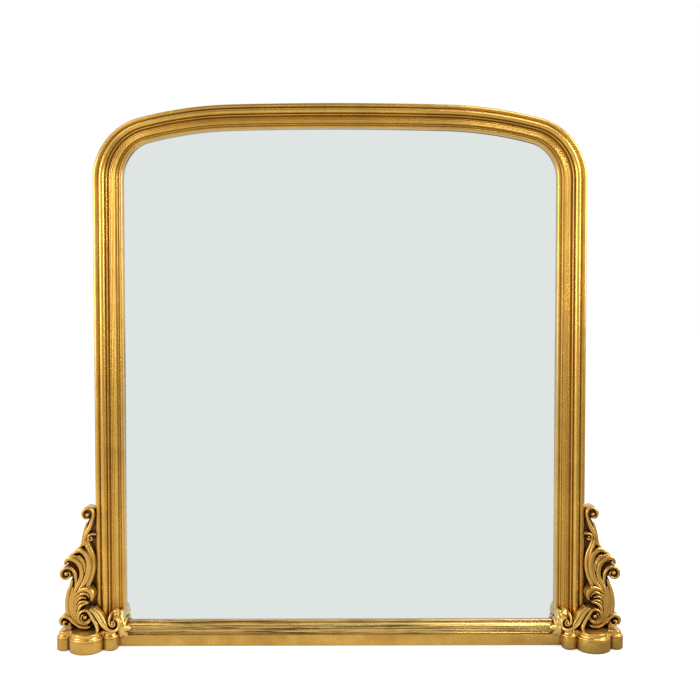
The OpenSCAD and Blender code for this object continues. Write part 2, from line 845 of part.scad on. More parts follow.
bumper_x = half_w - fitting_in;
bumper_low_z = sill_top + 73.5;
bumper_top_z = spring_z - plate_l / 2 - bumper_r - 10;
module bumper(side, z) {
    color("black")
        translate([side * bumper_x, back_y, z])
        rotate([-90, 0, 0])
        cylinder(h = bumper_t, r1 = bumper_r, r2 = bumper_r - 1);
}

module left_top_bumper() {
    bumper(-1, bumper_top_z);
}

module right_top_bumper() {
    bumper(1, bumper_top_z);
}

module left_low_bumper() {
    bumper(-1, bumper_low_z);
}

module right_low_bumper() {
    bumper(1, bumper_low_z);
}

// block screws to either side of the foot plate
block_screw_x = plate_w / 2 + head_r + 2;
module block_screws() {
    color("silver")
        for (side = [-1, 1])
            for (x = [-1, 1])
                translate([side * (half_w - fitting_in + x * block_screw_x), back_y,
                    pad_t + plinth_h / 2])
                    rotate([-90, 0, 0])
                    screw(plinth_d + 15, 0);
}

pad_in = 5;
module left_base_pad() {
    color("darkgreen")
        translate([-block_x, back_y, 0])
        linear_extrude(height = pad_t)
        block_plan(pad_in);
}

module right_base_pad() {
    mirror([1, 0, 0])
        left_base_pad();
}

left_stile();
right_stile();
left_shoulder();
right_shoulder();
crown_rail();
sill_rail();
plinth_rail();
left_plinth_block();
right_plinth_block();
left_plinth_cap();
right_plinth_cap();
left_scroll_bracket();
right_scroll_bracket();
left_foot_leaf();
right_foot_leaf();
left_corner_leaf();
right_corner_leaf();
mirror_glass();
backboard();
glazing_points();
left_setting_block();
right_setting_block();
left_crown_plate();
right_crown_plate();
left_shoulder_plate();
right_shoulder_plate();
left_foot_plate();
right_foot_plate();
left_bracket_plate();
right_bracket_plate();
plate_screws();
left_hanger_strap();
right_hanger_strap();
hanger_screws();
left_hanging_ring();
right_hanging_ring();
left_top_bumper();
right_top_bumper();
left_low_bumper();
right_low_bumper();
block_screws();
left_base_pad();
right_base_pad();
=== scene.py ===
import json
import math

import bpy
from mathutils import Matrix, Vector


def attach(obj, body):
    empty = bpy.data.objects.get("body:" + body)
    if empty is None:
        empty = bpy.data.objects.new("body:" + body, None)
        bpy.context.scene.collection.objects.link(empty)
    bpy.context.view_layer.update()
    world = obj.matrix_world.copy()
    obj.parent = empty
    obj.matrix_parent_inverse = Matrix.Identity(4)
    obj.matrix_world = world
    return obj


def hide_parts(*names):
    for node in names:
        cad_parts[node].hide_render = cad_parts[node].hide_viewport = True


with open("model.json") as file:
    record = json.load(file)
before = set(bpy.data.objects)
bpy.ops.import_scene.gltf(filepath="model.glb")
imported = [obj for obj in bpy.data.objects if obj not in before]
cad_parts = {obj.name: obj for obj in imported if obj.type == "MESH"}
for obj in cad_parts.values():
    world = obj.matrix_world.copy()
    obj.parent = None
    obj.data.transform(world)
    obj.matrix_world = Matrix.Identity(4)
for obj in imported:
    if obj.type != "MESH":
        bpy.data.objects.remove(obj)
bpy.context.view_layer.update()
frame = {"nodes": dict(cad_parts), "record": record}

# sizes of the mirror, as in its solids

MM = 0.001
HALF_W = 575 * MM
BACK_Y = 52 * MM
TOP_Z = 1270 * MM
STILE_W = 67.5 * MM
SIGHT_X = HALF_W - STILE_W
PAD_T = 2 * MM
RAIL_TOP = 28 * MM
CAP_TOP = 45 * MM

# the arch runs from the middle to the stile in three arcs: crown, haunch and corner
CROWN_R = 9300 * MM
CROWN_A = math.radians(1.55)
HAUNCH_R = 943 * MM
HAUNCH_A = math.radians(14.7)
CORNER_R = (HALF_W - CROWN_R * math.sin(CROWN_A)
            - HAUNCH_R * (math.sin(HAUNCH_A) - math.sin(CROWN_A))) / (1 - math.sin(HAUNCH_A))
CROWN_C = (0.0, TOP_Z - CROWN_R)
HAUNCH_C = ((CROWN_R - HAUNCH_R) * math.sin(CROWN_A),
            CROWN_C[1] + (CROWN_R - HAUNCH_R) * math.cos(CROWN_A))
CORNER_C = (HALF_W - CORNER_R, HAUNCH_C[1] + (HAUNCH_R - CORNER_R) * math.cos(HAUNCH_A))
SPRING_Z = CORNER_C[1]

# the moulding on the crown is narrower than on the stile, by this share
CROWN_SHARE = 0.85
# the arch stays this far inside its solids
ARCH_INSET = 0.05 * MM

# sections and outlines of the wood, in mm
REBATE_W, REBATE_D = 9, 16
SILL_H = 28.5
RAIL_H, RAIL_D = 26, 45
# the middle of a block lies this far outside the stile's edge
BLOCK_OUT = 14
# a block has a lobe at each corner and a bow between them
LOBE_X, LOBE_D, LOBE_R = 52.0, 62.5, 19.0
BOW_D, BOW_R = 74.0, 39.0
# an outline is drawn in by at least this, so that its inner corners keep their arcs
LEAST_INSET = 0.02
# the solid stile stands this deep, and the cap is cut clear of it
STILE_D, CAP_GAP = 49.55, 0.5
CAP_NOTCH = STILE_D + CAP_GAP

# points nearer than this are one point
SAME_POINT = 1e-7


# bench tools

def clear():
    """Leaves edit mode and selects nothing."""
    if bpy.context.mode != "OBJECT":
        bpy.ops.object.mode_set(mode="OBJECT")
    bpy.ops.object.select_all(action="DESELECT")


def pick(objs):
    """Selects these pieces alone, the first one active."""
    clear()
    for o in objs:
        o.select_set(True)
    bpy.context.view_layer.objects.active = objs[0]


def edit():
    """Opens the mesh with all its points selected."""
    bpy.ops.object.mode_set(mode="EDIT")
    bpy.ops.mesh.select_mode(type="VERT")
    bpy.ops.mesh.select_all(action="SELECT")


def push(v):
    """Extrudes what is selected by v."""
    bpy.ops.mesh.extrude_region_move(TRANSFORM_OT_translate={"value": v})


def turn(angle, centre):
    """Turns what is selected about Y; a positive angle carries +Z towards +X."""
    bpy.ops.transform.rotate(value=-angle, orient_axis="Y", center_override=centre)


def size(v, centre):
    """Scales what is selected about a centre."""
    bpy.ops.transform.resize(value=v, center_override=centre)


def label(name):
    """Names the active piece and its mesh."""
    obj = bpy.context.object
    obj.name = name
    obj.data.name = name
    return obj


def seal(name, smooth=35):
    """Puts the place into the mesh, turns the faces outwards and smooths them."""
    if bpy.context.mode != "OBJECT":
        bpy.ops.object.mode_set(mode="OBJECT")
    bpy.ops.object.transform_apply(location=True, rotation=True, scale=True)
    edit()
    bpy.ops.mesh.remove_doubles(threshold=SAME_POINT)
    bpy.ops.mesh.normals_make_consistent(inside=False)
    bpy.ops.object.mode_set(mode="OBJECT")
    bpy.ops.object.shade_smooth_by_angle(angle=math.radians(smooth))
    return label(name)


def trace(points):
    """A filled outline, drawn point by point from a small plane."""
    clear()
    bpy.ops.mesh.primitive_plane_add(size=MM, location=points[0])
    edit()
    bpy.ops.mesh.merge(type="CENTER")
    for a, b in zip(points, points[1:]):
        bpy.ops.mesh.extrude_vertices_move(
            TRANSFORM_OT_translate={"value": [q - p for p, q in zip(a, b)]})
    bpy.ops.mesh.select_all(action="SELECT")
    bpy.ops.mesh.edge_face_add()


def arc(cx, cy, rx, ry, a0, a1, n):
    """Points along a round or oval arc in n steps; angles in degrees."""
    angles = [math.radians(a0 + (a1 - a0) * i / n) for i in range(n + 1)]
    return [(cx + rx * math.cos(a), cy + ry * math.sin(a)) for a in angles]


def twin(obj, name):
    """A copy with its own mesh, on the other side of the centre line."""
    pick([obj])
    bpy.ops.object.duplicate()
    size((-1, 1, 1), (0, 0, 0))
    return seal(name)


def join(objs, name):
    """Makes one piece of several."""
    pick(objs)
    bpy.ops.object.join()
    return label(name)


def fit(obj, solid, finish):
    """Puts a gilt piece on the frame in place of a solid."""
    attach(obj, "frame")
    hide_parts(solid)
    obj.data.materials.clear()
    obj.data.materials.append(finish)


def fit_pair(obj, solid, finish):
    """Fits a piece and its twin; the names begin with the side."""
    side, piece = obj.name.split("_", 1)
    other = "right" if side == "left" else "left"
    fit(obj, f"{side}_{solid}", finish)
    fit(twin(obj, f"{other}_{piece}"), f"{other}_{solid}", finish)


# frame moulding

def moulding():
    """The section from the outer edge in, as (distance in, depth from the back)."""
    lip = STILE_W / MM
    pts = [(0, 0)]
    # outer rim, and the step up to the torus
    pts += arc(6.7, 30.6, -6.7, 5.2, 0, 180, 15)
    pts += [(13.6, 30.9), (14.2, 31.1), (14.7, 32.3), (15.0, 34.0)]
    pts += arc(22, 39.2, -7.0, 7.8, 0, 180, 15)
    # small bead beside the torus, and the hollow after it
    pts += [(29.2, 37.6), (29.5, 36.8)]
    pts += arc(31.9, 36.6, -2.2, 1.7, 15, 180, 11)
    pts += [(34.4, 35.2), (34.9, 33.6), (35.6, 32.9), (36.4, 33.1), (37.4, 34.2)]
    # the rising band carries four fine reeds
    pts += [(38.0, 34.9), (39.4, 35.6), (40.8, 35.7), (41.4, 35.2), (41.7, 35.0), (42.1, 35.4),
            (43.4, 36.2), (44.8, 36.4), (45.5, 36.0), (45.8, 35.8), (46.1, 36.2), (47.4, 36.9),
            (48.8, 37.1), (49.7, 36.8), (50.1, 36.6), (50.5, 36.8), (51.8, 37.1), (53.2, 37.0),
            (54.2, 36.4), (54.6, 35.2)]
    # slope down to the bead beside the glass
    pts += arc(58.0, 34.6, -3.4, -4.8, 8, 89, 9)
    pts += [(58.8, 29.5), (59.3, 29.1)]
    pts += arc(63.4, 28.4, -4.1, 3.4, 12, 168, 13)
    # lip and rebate
    pts += [(lip, 26.4), (lip, REBATE_D), (lip - REBATE_W, REBATE_D), (lip - REBATE_W, 0)]
    return [(u * MM, d * MM) for u, d in pts]


SECTION = moulding()


def stile(name):
    """The left stile, from the plinth rail up to where the arch springs."""
    trace([(-HALF_W + u, BACK_Y - d, RAIL_TOP) for u, d in SECTION])
    push((0, 0, SPRING_Z - RAIL_TOP))
    return seal(name)


def width_at(a):
    """How wide the moulding is at an angle of the arch, as a share of the stile's."""
    # it widens from the end of the crown to the stile, easing in and out
    along = max(0.0, (a - CROWN_A) / (math.pi / 2 - CROWN_A))
    return CROWN_SHARE + (1 - CROWN_SHARE) * along * along * (3 - 2 * along)


def arch_piece(name, legs):
    """Sweeps the moulding round arcs, each (centre x and z, radius, from, to, steps)."""
    (cx, cz), r, a = legs[0][:3]
    r -= ARCH_INSET
    k = width_at(a)
    trace([(cx + math.sin(a) * (r - u * k), BACK_Y - d, cz + math.cos(a) * (r - u * k))
           for u, d in SECTION])
    for (cx, cz), r, a0, a1, steps in legs:
        for i in range(steps):
            a, b = a0 + (a1 - a0) * i / steps, a0 + (a1 - a0) * (i + 1) / steps
            push((0, 0, 0))
            turn(b - a, (cx, 0, cz))
            wider = width_at(b) / width_at(a)
            if wider != 1:
                size((wider, 1, wider), (cx + math.sin(b) * r, 0, cz + math.cos(b) * r))
    return seal(name)


# the legs of the arch: centre, radius, angles from the top and steps
CROWN = (CROWN_C, CROWN_R, -CROWN_A, CROWN_A, 12)
HAUNCH = (HAUNCH_C, HAUNCH_R, CROWN_A, HAUNCH_A, 10)
CORNER = (CORNER_C, CORNER_R, HAUNCH_A, math.pi / 2, 26)


# sill and plinth

def sill(name):
    """The sill, from its section as (depth from the back, height)."""
    rebate_z = SILL_H - REBATE_W
    pts = [(0, 0), (40.4, 0), (40.4, 0.8)]
    # cove, bead and broad hollow, up to the bead beside the glass
    pts += arc(40, 6.4, 4, 5.4, -90, -180, 9)
    pts += arc(36, 8.7, 2.1, 2.1, -90, 90, 12) + [(34.7, 11.1), (34.5, 11.9), (35.6, 12.1)]
    pts += arc(24.2, 12.2, 12.2, 10.2, 4, 88, 14)
    pts += [(24.3, 22.9), (23.6, 23.2)] + arc(21.4, 25.9, 2.4, 2.4, -60, 90, 10)
    pts += [(REBATE_D, 28.4), (REBATE_D, rebate_z), (0, rebate_z)]
    trace([(-SIGHT_X, BACK_Y - d * MM, RAIL_TOP + h * MM) for d, h in pts])
    push((2 * SIGHT_X, 0, 0))
    return seal(name)


def plinth_rail(name):
    """The flat board, with its upper front edge eased."""
    pts = [(0, 0), (RAIL_D, 0), (RAIL_D, RAIL_H - 1.4), (RAIL_D - 0.4, RAIL_H - 0.4),
           (RAIL_D - 1.4, RAIL_H), (0, RAIL_H)]
    trace([(-HALF_W, BACK_Y - d * MM, PAD_T + h * MM) for d, h in pts])
    push((2 * HALF_W, 0, 0))
    return seal(name)


def crossing():
    """Where the arcs of a corner lobe and the bow meet, on the inner side."""
    dx, dd = LOBE_X, LOBE_D - BOW_D
    far = math.hypot(dx, dd)
    along = (BOW_R ** 2 - LOBE_R ** 2 + far ** 2) / (2 * far)
    off = math.sqrt(BOW_R ** 2 - along ** 2)
    return (along * dx - off * dd) / far, BOW_D + (along * dd + off * dx) / far


def lobes(g):
    """The front outline of a block, drawn in evenly by g, left to right."""
    px, pd = crossing()
    at_lobe = math.degrees(math.atan2(pd - LOBE_D, px - LOBE_X))
    at_bow = math.degrees(math.atan2(pd - BOW_D, px))
    side = arc(LOBE_X, LOBE_D, LOBE_R - g, LOBE_R - g, 0, at_lobe, 20)
    side += arc(px, pd, g, g, at_lobe - 180, at_bow - 180, 4)
    bow = arc(0, BOW_D, BOW_R - g, BOW_R - g, at_bow, 180 - at_bow, 44)
    right = [(LOBE_X + LOBE_R - g, 0)] + side
    return [(-x, d) for x, d in right] + bow[::-1] + right[::-1]


def raised(name, z, rings, notch_d):
    """A lobed solid from rings of (inset, height), bridged one to the next.
    It is notched behind for the stile's foot."""
    block_x = HALF_W + BLOCK_OUT * MM
    made = []
    for g, h in rings:
        front = [p for p in lobes(max(g, LEAST_INSET)) if p[0] < BLOCK_OUT or p[1] > notch_d]
        pts = front + [(LOBE_X + LOBE_R - g, notch_d), (BLOCK_OUT, notch_d), (BLOCK_OUT, 0)]
        trace([(-block_x + x * MM, BACK_Y - d * MM, z + h * MM) for x, d in pts])
        bpy.ops.mesh.delete(type="ONLY_FACE")
        bpy.ops.object.mode_set(mode="OBJECT")
        made.append(bpy.context.object)
    join(made, name)
    edit()
    bpy.ops.mesh.select_mode(type="EDGE")
    bpy.ops.mesh.select_all(action="SELECT")
    bpy.ops.mesh.bridge_edge_loops(type="SINGLE", use_merge=False)
    bpy.ops.mesh.select_all(action="SELECT")
    bpy.ops.mesh.fill_holes(sides=0)
    return seal(name)


def plinth_block(name):
    """A block with its lower and upper edges eased."""
    rings = [(1.2, 0), (0.3, 0.4), (0, 1.2), (0, RAIL_H - 1), (0.2, RAIL_H - 0.4), (0.8, RAIL_H)]
    return raised(name, PAD_T, rings, RAIL_D)


def plinth_cap(name):
    """A cap with a round nose, a hollow above it and an eased top."""
    nose = arc(1.4, 3.2, -1.4, 2.8, -75, 90, 11)
    hollow = arc(1.5, 12.5, 3.6, 6.4, -81, 0, 9)
    top = [(5.1, 14.6), (5.25, 15.6), (5.7, 16.4), (6.4, 16.85), (7.2, 17)]
    return raised(name, RAIL_TOP, [(0.9, 0)] + nose + hollow + top, CAP_NOTCH)


# carving

STRAND_SIDES = 14
STRAND_STEPS = 3
# a point further behind a strand's middle than this belongs to its back
HAIR = 1e-6
# a turn smaller than this, in radians, is left out
LEAST_BEND = 1e-5
# the ground behind the scrolls: the depth of its back and its thickness
GROUND_BACK, GROUND_T = 1 * MM, 25 * MM


def smooth_route(pts, n):
    """A smooth route through the points, n steps to each."""
    out = []
    last = len(pts) - 1
    for i in range(last):
        p0, p1, p2, p3 = pts[max(i - 1, 0)], pts[i], pts[i + 1], pts[min(i + 2, last)]
        for k in range(n):
            t = k / n
            out.append(tuple(
                0.5 * (2 * b + (c - a) * t + (2 * a - 5 * b + 4 * c - d) * t * t
                       + (3 * b - a - 3 * c + d) * t ** 3)
                for a, b, c, d in zip(p0, p1, p2, p3)))
    out.append(pts[last])
    return out


def rounded_off(route):
    """The route with two more steps that taper its end."""
    (o0, h0), (o1, h1, r, f) = route[-2][:2], route[-1]
    long = math.hypot(o1 - o0, h1 - h0)
    return route + [
        (o1 + (o1 - o0) / long * r * ahead, h1 + (h1 - h0) / long * r * ahead,
         r * share, f - r * 0.5 * (1 - share)) for ahead, share in ((0.45, 0.75), (0.75, 0.4))]


def heading(route, i):
    """The angle from Z towards X at a point of a route, from its neighbours."""
    a, b = route[max(i - 1, 0)], route[min(i + 1, len(route) - 1)]
    return math.atan2(b[0] - a[0], b[1] - a[1])


def strand(pts, back=4.0, tip=True, crown=0.9):
    """A carved strand: a round-fronted ridge pulled along a route of
    (out from the stile, height above the cap, half width, depth of its front).
    Its back lies at the depth back; crown is how round its front is."""
    route = smooth_route(pts, STRAND_STEPS)
    if tip:
        route = rounded_off(route)
    way = [(-HALF_W - o * MM, CAP_TOP + h * MM, r * MM, f * MM) for o, h, r, f in route]
    x, z, r, f = way[0]
    a = heading(way, 0)
    centre = (x, BACK_Y - f + r * crown, z)
    clear()
    bpy.ops.mesh.primitive_circle_add(vertices=STRAND_SIDES, radius=r, fill_type="NGON",
                                      location=centre, rotation=(0, a, 0))
    edit()
    size((1, crown, 1), centre)
    # the back half is drawn back, and the whole face is then pulled along
    bpy.ops.mesh.select_all(action="DESELECT")
    bpy.ops.object.mode_set(mode="OBJECT")
    for v in bpy.context.object.data.vertices:
        v.select = v.co.y > HAIR
    bpy.ops.object.mode_set(mode="EDIT")
    bpy.ops.transform.translate(value=(0, max(0.0, f - r * crown - back * MM), 0))
    bpy.ops.mesh.select_all(action="SELECT")
    bpy.ops.mesh.select_mode(type="FACE")
    for i in range(1, len(way)):
        x0, z0, r0, f0 = way[i - 1]
        x1, z1, r1, f1 = way[i]
        push((x1 - x0, 0, z1 - z0))
        bend = (heading(way, i) - a + math.pi) % (2 * math.pi) - math.pi
        if abs(bend) > LEAST_BEND:
            turn(bend, (x1, 0, z1))
        a += bend
        size((r1 / r0, f1 / f0, r1 / r0), (x1, BACK_Y, z1))
    return seal("strand", 50)


def boss(o, h, r, front):
    """The round eye of a volute."""
    clear()
    bpy.ops.mesh.primitive_uv_sphere_add(
        segments=16, ring_count=8, radius=r * MM,
        location=(-HALF_W - o * MM, BACK_Y - (front - r * 0.6) * MM, CAP_TOP + h * MM))
    return seal("boss", 60)


def scroll_ground(name):
    """The ground behind the scrolls, drawn a little inside their outline; its dark finish is partly
    bole and partly painted shade.
    """
    edge = [(0.2, 0.3), (0.2, 262), (1.5, 271), (5, 277.5), (11, 281), (18, 281), (24, 277.5),
            (27, 271), (26, 263.5), (21, 258.5), (16.5, 255), (19.5, 246), (22.5, 232),
            (25.8, 217), (28.3, 203), (33.5, 191), (41, 184), (48, 178), (55, 171),
            (62, 165.5), (67, 158), (66.5, 150), (64.5, 145.5), (71, 142), (76, 136),
            (78, 127.5), (74.5, 119.5), (66, 116), (57.5, 116.5), (58, 104), (61.5, 91),
            (64, 78), (65.3, 64), (65, 51), (64, 39), (66, 34), (72, 32.5), (77, 27),
            (79, 19), (76, 10), (66, 7), (61, 0.3)]
    trace([(-HALF_W - o * MM, BACK_Y - GROUND_BACK, CAP_TOP + h * MM) for o, h in edge])
    push((0, -GROUND_T, 0))
    return seal(name)


def scroll_carving(name):
    """The scrolls and leaves that climb beside the stile."""
    return join([
        # top volute on its stem
        strand([(25.2, 194.4, 6.6, 44), (23.9, 210.4, 6.2, 45), (17.8, 226.2, 5.8, 45),
                (10.9, 240, 5, 45), (6.2, 253.7, 4.2, 45), (3.5, 265.7, 4.1, 46),
                (5.4, 275.6, 4.1, 46), (12.9, 281.3, 4.2, 47), (21.7, 279.7, 4.2, 47),
                (27.1, 272.8, 3.9, 47), (27.2, 264, 3.7, 47), (21.9, 258.1, 3.3, 47),
                (15.1, 259.1, 2.5, 47)]),
        boss(16.2, 266.9, 4.2, 50),
        strand([(19.4, 245.3, 2.7, 42), (23.2, 229.7, 3.5, 43), (25.9, 215.9, 3.9, 43),
                (28.3, 202.1, 3.9, 43), (34.1, 190.5, 3.9, 44), (41.5, 183, 3.5, 46),
                (48.1, 176.4, 2.7, 47), (53.3, 170.2, 1.9, 46)]),
        # volute against the stile, and the stem under it
        strand([(-3.4, 221, 2.3, 44), (2.2, 221.2, 2.7, 45), (8.3, 220.5, 2.5, 46),
                (13.4, 217.5, 2.3, 46), (15.4, 212.6, 2.3, 46), (12.9, 207.7, 2.1, 46),
                (8, 206.7, 1.9, 46), (4.1, 209.6, 1.5, 46)]),
        boss(7, 213.8, 2.3, 50),
        strand([(15.8, 210.6, 2.7, 46), (16.3, 200.8, 3.9, 46), (12.8, 189.2, 4.6, 47),
                (6.8, 175.6, 5, 48), (3.8, 162, 5, 49), (2.7, 148.5, 5, 50),
                (4.1, 134.9, 5, 51), (7.3, 121.4, 5, 52), (11.9, 110, 5, 54),
                (16.4, 98.7, 5, 56), (21.8, 87.5, 4.2, 58)]),
        strand([(20.8, 207.1, 1.9, 48), (19.1, 195.5, 3.1, 49), (13.5, 180, 3.1, 50),
                (9.5, 164.5, 3.1, 51), (8.7, 148.9, 3.1, 52), (10.5, 133.4, 3.1, 53),
                (15.1, 117.9, 3.1, 54), (21.2, 104.7, 2.7, 56)]),
        # upper leaf
        strand([(45.9, 176.6, 1.9, 48), (40.2, 181.2, 3.5, 51), (32.9, 184.2, 4.6, 53),
                (24.6, 181.1, 5.2, 55), (17.6, 173.5, 5.4, 56), (13.2, 161.7, 5.4, 56),
                (12, 147.9, 5.4, 56), (14.1, 134.2, 5.4, 56), (17.9, 120.7, 5.2, 57),
                (23.6, 107.1, 5, 58), (31, 93.9, 4.6, 60), (38.7, 80.4, 4.2, 61),
                (43.4, 66.9, 3.9, 62)]),
        strand([(39, 170.1, 1.5, 50), (32.3, 168.6, 2.7, 52), (25.3, 161, 3.1, 53),
                (21.5, 149.2, 3.1, 53), (20.6, 137.4, 2.7, 53)]),
        # lower leaf
        strand([(69.1, 150.4, 1.9, 50), (67.2, 157.8, 3.1, 52), (61.1, 164.2, 3.9, 54),
                (51.8, 165.2, 4.6, 56), (41.8, 161, 5, 57), (34.1, 153.1, 5, 57),
                (29.9, 142.3, 4.8, 57), (28.5, 130.5, 4.8, 57), (30.3, 118.9, 4.6, 58),
                (35, 107.4, 4.6, 59), (40.7, 95.9, 4.6, 60), (46.5, 82.4, 4.6, 61),
                (50.2, 68.9, 4.6, 62), (52.1, 55.4, 4.6, 63), (50.4, 41.9, 4.2, 64)]),
        strand([(62.1, 167.2, 1.9, 50), (51.8, 170.6, 3.1, 52), (39.9, 167.9, 3.5, 53),
                (29.9, 160.2, 3.5, 54), (23.2, 147.5, 3.1, 54), (22.4, 133.7, 2.7, 54)]),
        # outer volute
        strand([(48.9, 75.6, 3.9, 58), (44.2, 91.4, 3.9, 58), (41.8, 104.9, 3.9, 57),
                (41.9, 118.7, 3.9, 57), (44.5, 130.5, 3.9, 57), (50.6, 140.6, 3.9, 58),
                (59.3, 144.5, 3.7, 58), (68.1, 142.9, 3.7, 58), (74.6, 136.6, 3.5, 58),
                (76.4, 127.8, 3.3, 58), (72.2, 120.5, 3.1, 58), (64.4, 118.5, 2.9, 58),
                (57.6, 121.9, 2.5, 58), (54.7, 129, 2.1, 59), (58.1, 134.5, 1.7, 59)]),
        boss(63.2, 131.3, 4.6, 62),
        # belly and its flutes
        strand([(50.9, 115.5, 2.7, 56), (53.5, 102.9, 3.9, 57), (57.9, 91.4, 4.6, 58),
                (60.4, 78.2, 5, 60), (61.8, 64.7, 5, 61), (61.5, 51.2, 5, 62),
                (59.4, 38.6, 5, 63), (54.4, 27.1, 4.6, 64), (46.2, 17.9, 3.9, 66),
                (35.9, 11.7, 3.1, 67)]),
        strand([(48.1, 99.8, 2.3, 60), (51.9, 82.4, 3.3, 61), (54.1, 66.9, 3.7, 62),
                (53.7, 51.4, 3.7, 63), (50.6, 37.3, 3.5, 65), (44.8, 25.7, 3.1, 66),
                (35.6, 17.5, 2.7, 68)]),
        strand([(42.1, 90.2, 2.3, 61), (46.3, 74.8, 3.3, 62), (47.9, 59.6, 3.5, 64),
                (46.8, 45.1, 3.5, 65), (42.5, 31.9, 3.3, 67), (35.2, 21.4, 2.9, 68),
                (24.7, 14.2, 2.5, 69), (14, 13.5, 2.1, 69)]),
        strand([(35.5, 82.6, 2.3, 62), (40.2, 70.1, 3.1, 63), (42, 56.9, 3.3, 65),
                (41.3, 43.4, 3.3, 66), (37.4, 32.2, 3.1, 68), (30.4, 23.7, 2.9, 69),
                (20.5, 19.6, 2.5, 70), (10.8, 22, 2.1, 70)]),
        # leaf turned over on the inner side
        strand([(42.3, 82.6, 2.3, 62), (30.8, 91.7, 3.5, 65), (20.3, 96, 4.6, 68),
                (10.1, 95.1, 5.4, 70), (3.5, 88.5, 5.2, 71), (1.5, 79.9, 4.4, 70),
                (3.8, 71.6, 2.7, 67)]),
        strand([(39.2, 74, 2.3, 63), (29.9, 83, 3.1, 65), (19.6, 86.5, 3.3, 67),
                (12.3, 84, 3.1, 67), (9.5, 77.5, 1.9, 65)]),
        strand([(40, 62.5, 2.3, 64), (34, 72.3, 2.7, 66), (25.5, 77.3, 2.9, 67),
                (17.6, 75.8, 2.3, 66)]),
        strand([(38.1, 49.3, 2.3, 66), (35, 59.4, 2.7, 67), (28.3, 66.6, 2.9, 68),
                (19.5, 68.5, 2.7, 68), (12.1, 64.7, 1.9, 67)]),
        # lower volute
        strand([(11.8, 65, 2.3, 68), (20.3, 62.5, 2.9, 69), (28.5, 57.3, 3.1, 70),
                (33.4, 47.8, 3.1, 71), (34.4, 36.3, 3.1, 72), (30.6, 25.5, 2.9, 72),
                (21.9, 18.7, 2.7, 72), (12.2, 18.7, 2.5, 72)]),
        strand([(5.3, 40.2, 2.1, 72), (10.8, 46, 2.5, 73), (18.7, 48.2, 2.7, 74),
                (27, 44.7, 2.7, 74), (31.9, 36.9, 2.7, 74), (32, 27.1, 2.5, 74),
                (25.9, 19.6, 2.3, 74), (16.6, 17.3, 2.3, 74), (7.9, 21.6, 2.1, 74),
                (4.5, 30, 1.9, 74)]),
        strand([(7.8, 28.1, 1.7, 74), (12.7, 22.2, 1.7, 74), (20.1, 21.2, 1.7, 74),
                (25.8, 26.1, 1.5, 74), (26.3, 33.6, 1.5, 75), (22, 38.7, 1.5, 75)]),
        boss(16.2, 33.7, 4.2, 80),
        # scroll along the foot
        strand([(74, 9.8, 1.9, 62), (77.1, 16.9, 2.9, 64), (76.8, 24.7, 3.3, 65),
                (71.2, 31.1, 3.5, 66), (63.7, 32.5, 3.5, 67), (55.5, 28.5, 3.5, 68),
                (46.6, 21.3, 3.5, 69), (37.6, 13.9, 3.3, 70), (27.1, 8.9, 3.3, 71),
                (15.3, 7.5, 2.9, 72), (7.5, 9.8, 2.1, 72)]),
        strand([(62.5, 18.5, 1.9, 64), (67.3, 20.3, 2.3, 65), (69.6, 15.3, 2.5, 66),
                (66.3, 9.6, 2.7, 66), (59.5, 9, 2.9, 66), (53.3, 6.1, 3.3, 66)]),
        strand([(57.2, 16.5, 2.7, 62), (55.4, 9.3, 3.9, 63), (56.2, 2.3, 4.6, 64),
                (55.3, -3.4, 5, 64)]),
    ], name)


def foot_leaf(name):
    """The leaf and the small volute in front of the stile's foot."""
    return join([
        strand([(14, 45.9, 2.7, 70), (6, 38.8, 3.5, 73), (-1.8, 27.9, 3.9, 76),
                (-9, 17, 3.9, 79), (-12.3, 7.4, 3.5, 81), (-11.1, -1.1, 2.7, 82)], 44),
        strand([(7.2, 50.3, 3.1, 70), (-4.4, 42, 3.9, 74), (-14.5, 29.5, 4.2, 78),
                (-24.5, 15.5, 4.2, 81), (-36.5, 6.4, 3.9, 83), (-48.5, 2.8, 3.3, 84),
                (-58.5, 6.8, 3.0, 84), (-62, 16.5, 2.8, 83), (-59.5, 26.5, 2.6, 82),
                (-53, 31.6, 2.2, 81)], 44),
        strand([(-0.7, 51.3, 3.1, 68), (-12.2, 42.6, 3.9, 72), (-21, 32.5, 3.7, 75),
                (-28.6, 21.5, 3.3, 78), (-34.5, 13, 2.1, 79)], 44),
        # curl in the middle of the volute, on its stem
        strand([(-43.2, 41, 2.0, 74), (-40.6, 33, 2.6, 77), (-39.2, 25.6, 2.6, 79),
                (-40.4, 18, 2.6, 80), (-45, 13.4, 2.6, 80), (-50.6, 14.2, 2.4, 80),
                (-52.6, 19.4, 2.2, 80), (-49.6, 23.8, 1.9, 80), (-45.6, 22.6, 1.6, 80)], 44),
        boss(-46.9, 18.9, 3.0, 83),
        # soft leaves that stand up behind the volute
        strand([(-51, 22, 6.5, 70), (-51.6, 31, 7.4, 68), (-51.4, 38, 6.8, 64),
                (-50.6, 42.5, 5.2, 59)], 30, crown=0.4),
        strand([(-57.5, 22, 6.5, 69), (-60, 29, 7.0, 66), (-61.2, 35, 6.2, 61),
                (-61.6, 39, 4.8, 56)], 30, crown=0.4),
    ], name)


